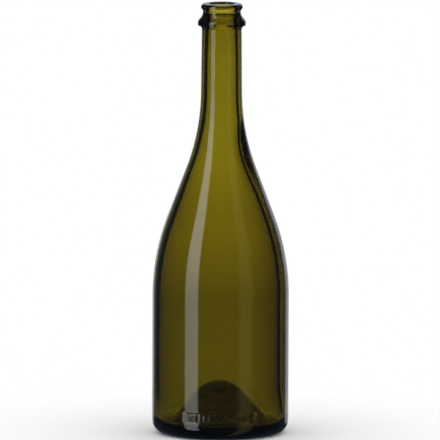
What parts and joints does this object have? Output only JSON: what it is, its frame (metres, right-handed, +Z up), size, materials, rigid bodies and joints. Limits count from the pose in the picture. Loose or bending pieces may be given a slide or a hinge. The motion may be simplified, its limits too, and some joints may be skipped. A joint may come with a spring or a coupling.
{
  "type": "champagne bottle",
  "caption": "Slim-necked sparkling wine bottle in olive green glass, with a crown-cap lip, cage ring, long sloping shoulder and deep punt.",
  "frame": {"origin": "centre of the standing ring, on the surface that the bottle stands on", "axes": "+Z up the bottle's axis to the mouth; the bottle is turned about Z, and +X and +Y are free"},
  "size_m": [0.0932, 0.0932, 0.295],
  "materials": {
    "olive_glass": "fire-polished, clear, olive green"
  },
  "bodies": {
    "root": {"crown_lip": "olive_glass", "cage_ring": "olive_glass", "neck": "olive_glass", "shoulder": "olive_glass", "barrel": "olive_glass", "heel": "olive_glass", "punt": "olive_glass"}
  },
  "joints": []
}
